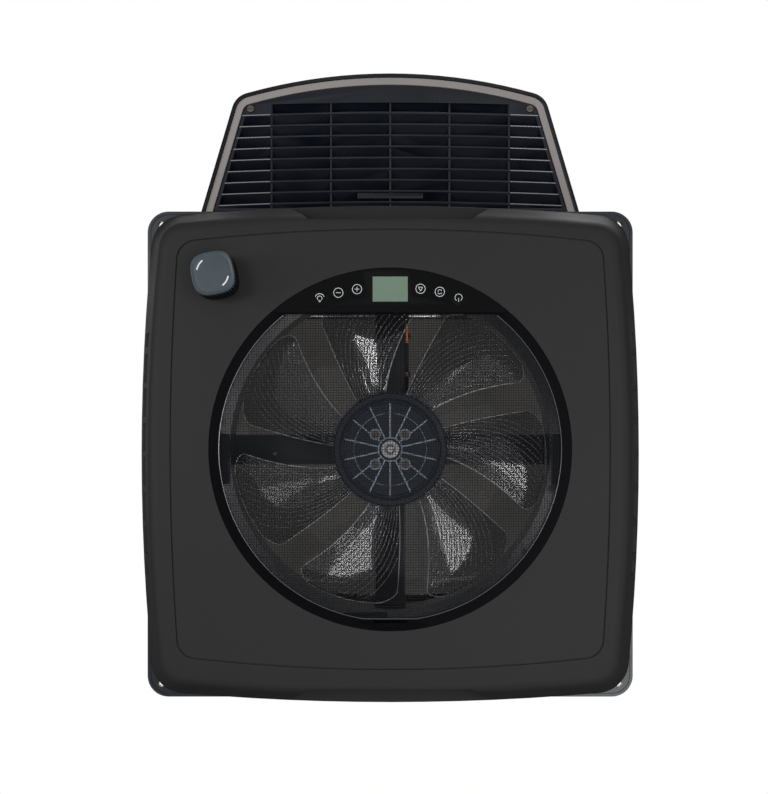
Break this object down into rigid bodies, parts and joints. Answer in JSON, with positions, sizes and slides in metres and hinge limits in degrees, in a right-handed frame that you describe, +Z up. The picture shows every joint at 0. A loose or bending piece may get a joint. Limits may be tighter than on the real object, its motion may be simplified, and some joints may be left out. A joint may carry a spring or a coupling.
{
  "type": "roof ventilation fan",
  "caption": "Roof fan with a lifting translucent hood, louvred rear, insect screen, swept translucent rotor, room-side bezel, control panel and lift knob.",
  "frame": {"origin": "centre of the roof flange, on the plane that lies on the roof", "axes": "+Z up towards the sky, +Y towards the rear louvred end of the hood, +X to the right of someone on the roof who looks towards +Y"},
  "size_m": [0.426, 0.5882, 0.252],
  "materials": {
    "base": "moulded ABS, slate black, semi-matte",
    "bezel": "fine-grained charcoal moulded ABS",
    "spring_steel": "spring steel strip",
    "screen_black": "gloss black moulding",
    "mesh": "black coated fine wire mesh",
    "panel_gloss": "gloss black fascia",
    "key_gloss": "gloss black key with a pale printed symbol",
    "lcd": "grey-green display window",
    "board": "green solder mask",
    "black_plastic": "black moulded nylon",
    "motor_metal": "die-cast, as cast",
    "steel": "bright steel",
    "lamination": "laminated electrical steel",
    "copper": "enamelled copper windings",
    "magnet": "coated ferrite",
    "smoke_blade": "translucent smoke-grey polycarbonate",
    "lead_orange": "orange insulated lead",
    "rubber": "black rubber",
    "knob_face": "slate blue-grey cap over a black fluted skirt",
    "hood_smoke": "smoke-tinted polycarbonate",
    "hood_black": "gloss black rim",
    "seal": "grey-beige foam rubber strip",
    "louvre": "black moulded louvres"
  },
  "bodies": {
    "root": {"base_flange": "base", "interior_bezel": "bezel", "bezel_clips": "spring_steel", "screen_frame": "screen_black", "screen_mesh": "mesh", "control_panel": "panel_gloss", "key_domes": "spring_steel", "lcd_window": "lcd", "lcd_module": "black_plastic", "control_board": "board", "control_housing": "black_plastic", "power_terminal": "black_plastic", "fan_shroud": "base", "spider_dampers": "rubber", "motor_spider": "black_plastic", "spider_screws": "steel", "motor_screws": "steel", "motor_base": "motor_metal", "stator_core": "lamination", "stator_windings": "copper", "motor_bearings": "steel", "motor_lead": "lead_orange", "lead_clips": "black_plastic", "shaft_bushes": "black_plastic", "front_base_pins": "steel", "lift_gearbox": "black_plastic"},
    "fan": {"fan_rotor": "smoke_blade", "rotor_can": "steel", "rotor_magnets": "magnet", "motor_shaft": "steel", "hub_screws": "steel", "hub_washer": "steel", "hub_nut": "steel"},
    "rear_arms": {"lift_shaft": "steel", "rear_arm_left": "steel", "rear_arm_right": "steel", "lift_wheel": "black_plastic"},
    "front_arm_left": {"front_arm_left": "steel"},
    "front_arm_right": {"front_arm_right": "steel"},
    "hood": {"hood_shell": "hood_smoke", "hood_rim": "hood_black", "hood_seal": "seal", "louvre_panel": "louvre", "louvre_screws": "steel", "hood_brackets": "black_plastic", "hood_pins": "steel"},
    "knob": {"lift_knob": "knob_face", "knob_shaft": "steel", "lift_worm": "steel"},
    "screen_latch": {"screen_latch": "screen_black"},
    "key_light": {"key_light": "key_gloss"},
    "key_minus": {"key_minus": "key_gloss"},
    "key_plus": {"key_plus": "key_gloss"},
    "key_mode": {"key_mode": "key_gloss"},
    "key_reverse": {"key_reverse": "key_gloss"},
    "key_power": {"key_power": "key_gloss"}
  },
  "joints": [
    {"name": "fan_spin", "type": "hinge", "parent": "root", "child": "fan", "pos_m": [0, 0.004, 0.033], "axis": [0, 0, 1], "continuous": true},
    {"name": "hood_lift", "type": "hinge", "parent": "root", "child": "rear_arms", "pos_m": [0, 0.13, 0.066], "axis": [1, 0, 0], "range_deg": [0, 100]},
    {"name": "hood_level", "type": "hinge", "parent": "rear_arms", "child": "hood", "pos_m": [0, 0.11162, 0.13458], "axis": [1, 0, 0], "range_deg": [-100, 0]},
    {"name": "front_arm_left_swing", "type": "hinge", "parent": "root", "child": "front_arm_left", "pos_m": [0, -0.1, 0.066], "axis": [1, 0, 0], "range_deg": [0, 100]},
    {"name": "front_arm_right_swing", "type": "hinge", "parent": "root", "child": "front_arm_right", "pos_m": [0, -0.1, 0.066], "axis": [1, 0, 0], "range_deg": [0, 100]},
    {"name": "knob_turn", "type": "hinge", "parent": "root", "child": "knob", "pos_m": [0.14, 0.143, -0.05], "axis": [0, 0, 1], "range_deg": [0, 1000]},
    {"name": "latch_slide", "type": "slide", "parent": "root", "child": "screen_latch", "axis": [0, 1, 0], "range_m": [0, 0.0026], "stiffness_N_per_m": 200},
    {"name": "key_light_press", "type": "slide", "parent": "root", "child": "key_light", "axis": [0, 0, 1], "range_m": [0, 0.0005], "stiffness_N_per_m": 800},
    {"name": "key_minus_press", "type": "slide", "parent": "root", "child": "key_minus", "axis": [0, 0, 1], "range_m": [0, 0.0005], "stiffness_N_per_m": 800},
    {"name": "key_plus_press", "type": "slide", "parent": "root", "child": "key_plus", "axis": [0, 0, 1], "range_m": [0, 0.0005], "stiffness_N_per_m": 800},
    {"name": "key_mode_press", "type": "slide", "parent": "root", "child": "key_mode", "axis": [0, 0, 1], "range_m": [0, 0.0005], "stiffness_N_per_m": 800},
    {"name": "key_reverse_press", "type": "slide", "parent": "root", "child": "key_reverse", "axis": [0, 0, 1], "range_m": [0, 0.0005], "stiffness_N_per_m": 800},
    {"name": "key_power_press", "type": "slide", "parent": "root", "child": "key_power", "axis": [0, 0, 1], "range_m": [0, 0.0005], "stiffness_N_per_m": 800}
  ],
  "couplings": [
    {"joint": "hood_level", "follows": "hood_lift", "ratio": -1},
    {"joint": "front_arm_left_swing", "follows": "hood_lift", "ratio": 1},
    {"joint": "front_arm_right_swing", "follows": "hood_lift", "ratio": 1},
    {"joint": "knob_turn", "follows": "hood_lift", "ratio": 10}
  ]
}
